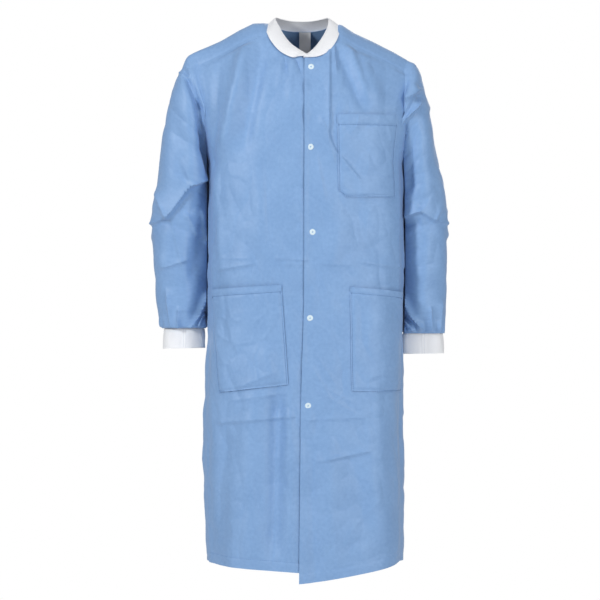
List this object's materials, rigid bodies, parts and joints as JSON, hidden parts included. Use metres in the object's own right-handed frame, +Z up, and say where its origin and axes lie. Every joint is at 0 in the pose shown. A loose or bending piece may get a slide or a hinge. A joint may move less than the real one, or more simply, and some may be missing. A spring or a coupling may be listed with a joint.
{
  "type": "lab coat",
  "caption": "Knee-length lab coat of light blue non-woven cloth, snapped shut in front, with rib-knit collar and cuffs, a chest pocket and hip pockets.",
  "frame": {"origin": "the middle of the neck opening, level with the top of the shoulders where they meet the neck", "axes": "+Z up along the coat, -Y the way the wearer faces, +X towards the wearer's left"},
  "size_m": [0.583, 0.2272, 1.1257],
  "materials": {
    "blue_nonwoven": "matte, soft and slightly fibrous",
    "white_rib_knit": "matte rib knit",
    "label_satin": "smooth satin tape",
    "snap_plastic": "smooth moulded plastic"
  },
  "bodies": {
    "torso": {"back_panel": "blue_nonwoven", "left_front_yoke": "blue_nonwoven", "right_front_yoke": "blue_nonwoven", "collar_rib": "white_rib_knit", "neck_label": "label_satin", "chest_pocket": "blue_nonwoven", "snap_upper_1_cap": "snap_plastic", "snap_upper_1_socket": "snap_plastic", "snap_upper_1_stud": "snap_plastic", "snap_upper_1_back_cap": "snap_plastic", "snap_upper_2_cap": "snap_plastic", "snap_upper_2_socket": "snap_plastic", "snap_upper_2_stud": "snap_plastic", "snap_upper_2_back_cap": "snap_plastic", "snap_upper_3_cap": "snap_plastic", "snap_upper_3_socket": "snap_plastic", "snap_upper_3_stud": "snap_plastic", "snap_upper_3_back_cap": "snap_plastic"},
    "left_front": {"left_front_skirt": "blue_nonwoven", "left_hip_pocket": "blue_nonwoven", "snap_lower_1_cap": "snap_plastic", "snap_lower_1_socket": "snap_plastic", "snap_lower_2_cap": "snap_plastic", "snap_lower_2_socket": "snap_plastic"},
    "right_front": {"right_front_skirt": "blue_nonwoven", "right_hip_pocket": "blue_nonwoven", "snap_lower_1_stud": "snap_plastic", "snap_lower_1_back_cap": "snap_plastic", "snap_lower_2_stud": "snap_plastic", "snap_lower_2_back_cap": "snap_plastic"},
    "left_upper_sleeve": {"left_sleeve_cap": "blue_nonwoven", "left_sleeve_upper": "blue_nonwoven"},
    "right_upper_sleeve": {"right_sleeve_cap": "blue_nonwoven", "right_sleeve_upper": "blue_nonwoven"},
    "left_forearm": {"left_sleeve_lower": "blue_nonwoven", "left_cuff_rib": "white_rib_knit"},
    "right_forearm": {"right_sleeve_lower": "blue_nonwoven", "right_cuff_rib": "white_rib_knit"}
  },
  "joints": [
    {"name": "left_front_swing", "type": "hinge", "parent": "torso", "child": "left_front", "pos_m": [0.19, -0.03, -0.79], "axis": [0, 0, 1], "range_deg": [0, 60], "stiffness_Nm_per_rad": 0.003, "springref_deg": -28.65},
    {"name": "right_front_swing", "type": "hinge", "parent": "torso", "child": "right_front", "pos_m": [-0.19, -0.03, -0.79], "axis": [0, 0, 1], "range_deg": [-24, 0]},
    {"name": "left_shoulder", "type": "hinge", "parent": "torso", "child": "left_upper_sleeve", "pos_m": [0.19, 0, -0.122], "axis": [0, -1, 0], "range_deg": [0, 80]},
    {"name": "right_shoulder", "type": "hinge", "parent": "torso", "child": "right_upper_sleeve", "pos_m": [-0.19, 0, -0.122], "axis": [0, 1, 0], "range_deg": [0, 80]},
    {"name": "left_elbow", "type": "hinge", "parent": "left_upper_sleeve", "child": "left_forearm", "pos_m": [0.2425, 0.022, -0.391], "axis": [-1, 0, 0], "range_deg": [0, 90]},
    {"name": "right_elbow", "type": "hinge", "parent": "right_upper_sleeve", "child": "right_forearm", "pos_m": [-0.2425, 0.022, -0.391], "axis": [-1, 0, 0], "range_deg": [0, 90]}
  ],
  "couplings": [
    {"joint": "right_front_swing", "follows": "left_front_swing", "ratio": -0.4}
  ]
}
